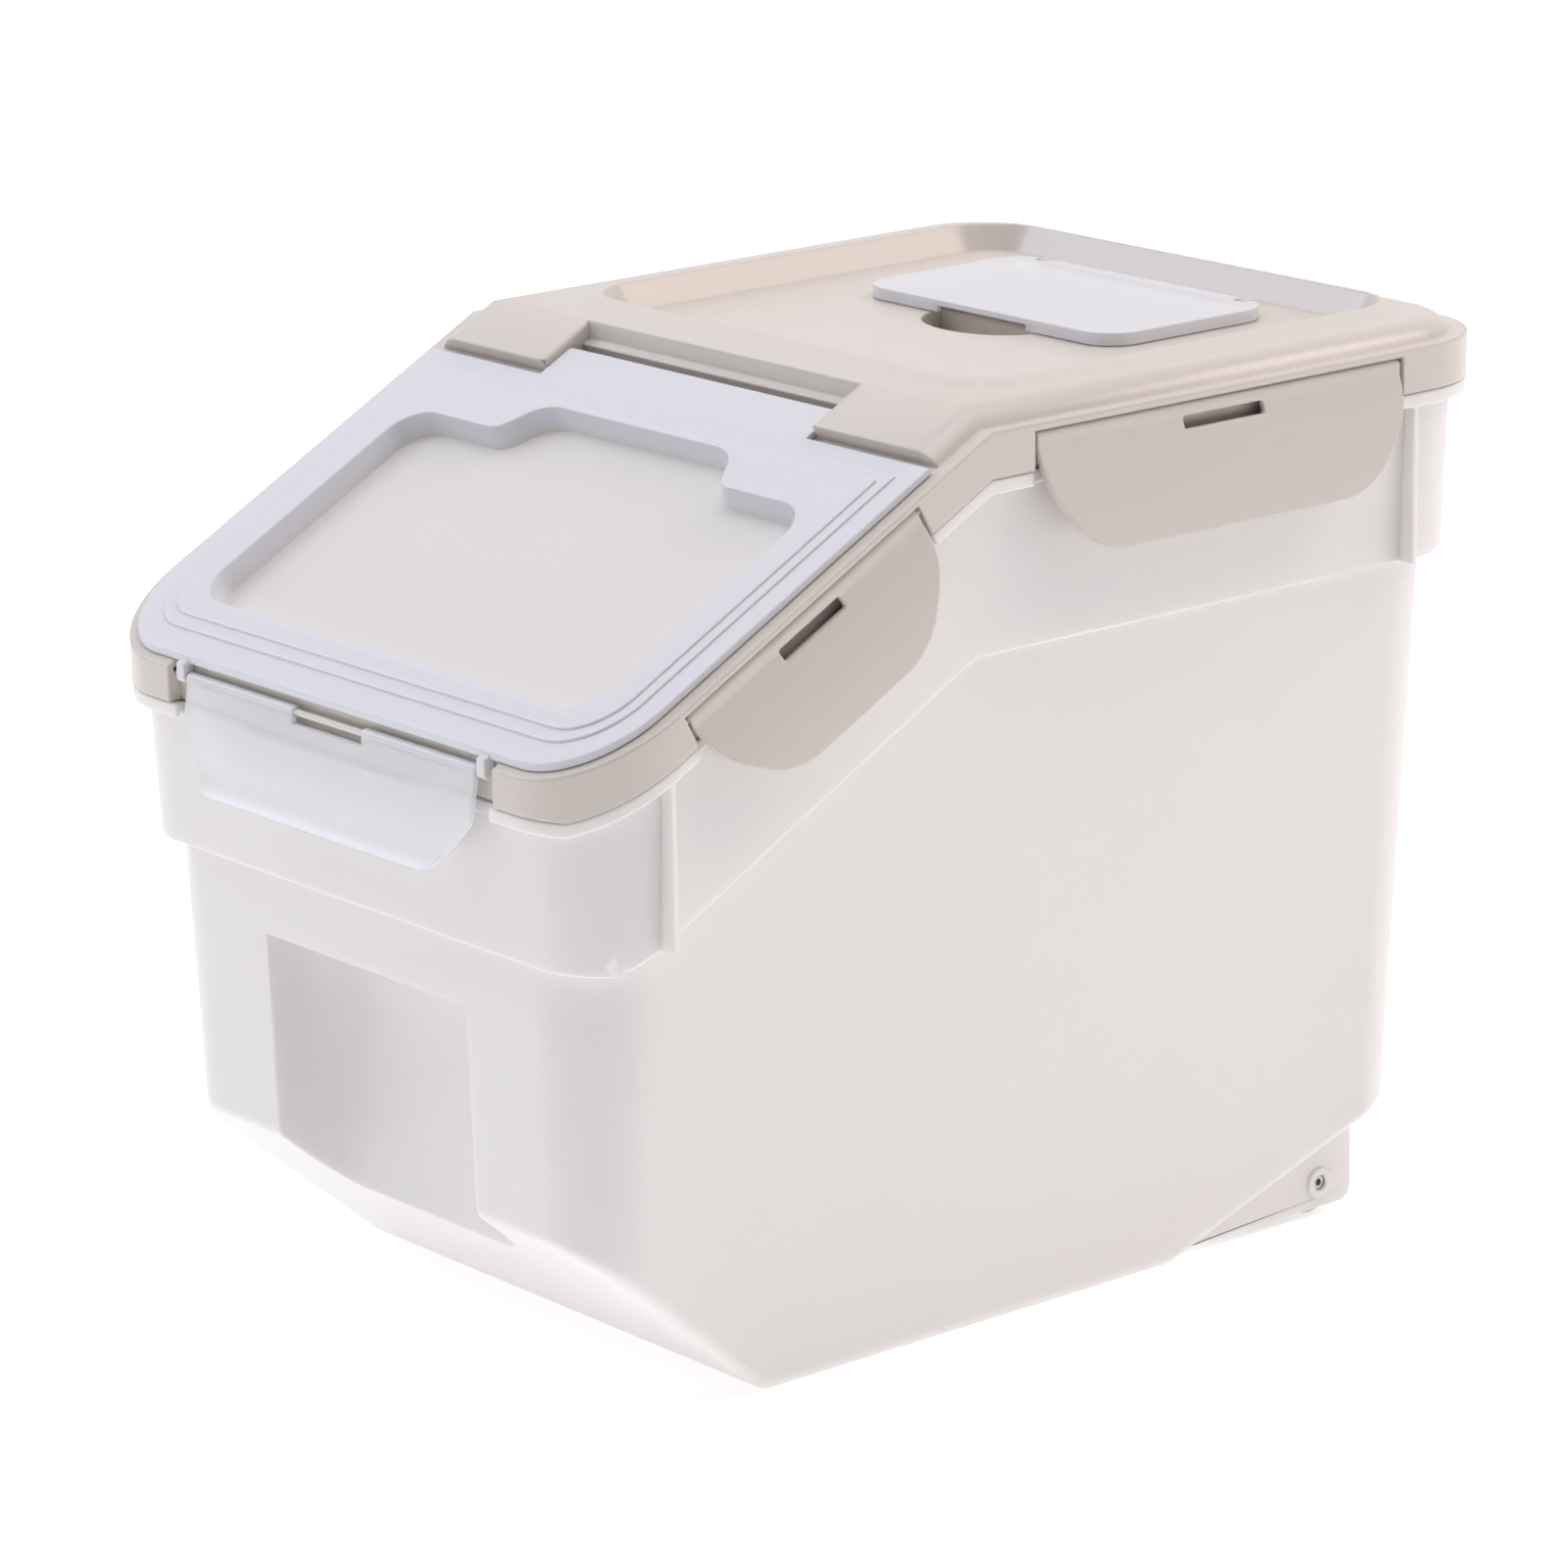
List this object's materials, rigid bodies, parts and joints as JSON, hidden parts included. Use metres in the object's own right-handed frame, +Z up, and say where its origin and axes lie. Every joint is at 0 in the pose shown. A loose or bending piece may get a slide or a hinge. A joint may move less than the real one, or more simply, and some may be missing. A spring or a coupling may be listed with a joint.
{
  "type": "rice bin with flip lid",
  "caption": "Rolling grain bin with a sloping front, a clip-on lid frame, a hinged see-through scoop flap, swing latches and a capped repellent box in the lid.",
  "frame": {"origin": "middle of the footprint on the floor plane, on the flat foot of the tub", "axes": "+Z up, +Y towards the rear, -Y towards the sloping front with the scoop flap, +X to the right for someone who faces the front"},
  "size_m": [0.2628, 0.3739, 0.2954],
  "materials": {
    "white_polypropylene": "injection moulded, satin",
    "beige_polypropylene": "injection moulded, satin",
    "frosted_polypropylene": "injection moulded, translucent",
    "silicone_seal": "matt",
    "hinge_rod": "smooth",
    "steel_pin": "turned",
    "wheel_plastic": "moulded"
  },
  "bodies": {
    "base": {"tub": "white_polypropylene", "wheel_axle_left": "steel_pin", "wheel_axle_right": "steel_pin"},
    "lid": {"lid_frame": "beige_polypropylene", "lid_seal": "silicone_seal", "flap_hinge_pin_left": "steel_pin", "flap_hinge_pin_right": "steel_pin", "side_latch_rod_right_rear": "hinge_rod", "side_latch_rod_right_front": "hinge_rod", "side_latch_rod_left_rear": "hinge_rod", "side_latch_rod_left_front": "hinge_rod", "repellent_box": "white_polypropylene", "repellent_cap_pin": "steel_pin"},
    "flap": {"flip_lid": "frosted_polypropylene", "flip_lid_seal": "silicone_seal", "front_latch_rod": "hinge_rod"},
    "front_latch": {"front_latch": "frosted_polypropylene"},
    "repellent_cap": {"repellent_box_cap": "frosted_polypropylene"},
    "wheel_left": {"wheel_left": "wheel_plastic"},
    "wheel_right": {"wheel_right": "wheel_plastic"},
    "side_latch_right_rear": {"side_latch_right_rear": "beige_polypropylene"},
    "side_latch_right_front": {"side_latch_right_front": "beige_polypropylene"},
    "side_latch_left_rear": {"side_latch_left_rear": "beige_polypropylene"},
    "side_latch_left_front": {"side_latch_left_front": "beige_polypropylene"}
  },
  "joints": [
    {"name": "lid_lift_off", "type": "slide", "parent": "base", "child": "lid", "axis": [0, 0, 1], "range_m": [0, 0.08]},
    {"name": "flap_hinge", "type": "hinge", "parent": "lid", "child": "flap", "pos_m": [0, -0.04, 0.28228], "axis": [-1, 0, 0], "range_deg": [0, 133]},
    {"name": "front_latch_hinge", "type": "hinge", "parent": "flap", "child": "front_latch", "pos_m": [0, -0.18275, 0.2032], "axis": [-1, 0, 0], "range_deg": [0, 95]},
    {"name": "side_latch_right_rear_hinge", "type": "hinge", "parent": "lid", "child": "side_latch_right_rear", "pos_m": [0.12275, 0.061, 0.2831], "axis": [0, -1, 0], "range_deg": [0, 95]},
    {"name": "side_latch_right_front_hinge", "type": "hinge", "parent": "lid", "child": "side_latch_right_front", "pos_m": [0.12275, -0.10349, 0.24444], "axis": [0, -0.8813, -0.4726], "range_deg": [0, 95]},
    {"name": "side_latch_left_rear_hinge", "type": "hinge", "parent": "lid", "child": "side_latch_left_rear", "pos_m": [-0.12275, 0.061, 0.2831], "axis": [0, 1, 0], "range_deg": [0, 95]},
    {"name": "side_latch_left_front_hinge", "type": "hinge", "parent": "lid", "child": "side_latch_left_front", "pos_m": [-0.12275, -0.10349, 0.24444], "axis": [0, 0.8813, 0.4726], "range_deg": [0, 95]},
    {"name": "repellent_cap_hinge", "type": "hinge", "parent": "lid", "child": "repellent_cap", "pos_m": [0, 0.145, 0.2895], "axis": [-1, 0, 0], "range_deg": [0, 100]},
    {"name": "wheel_right_spin", "type": "hinge", "parent": "base", "child": "wheel_right", "pos_m": [0.0868, 0.1315, 0.0113], "axis": [1, 0, 0], "continuous": true},
    {"name": "wheel_left_spin", "type": "hinge", "parent": "base", "child": "wheel_left", "pos_m": [-0.0868, 0.1315, 0.0113], "axis": [1, 0, 0], "continuous": true}
  ]
}
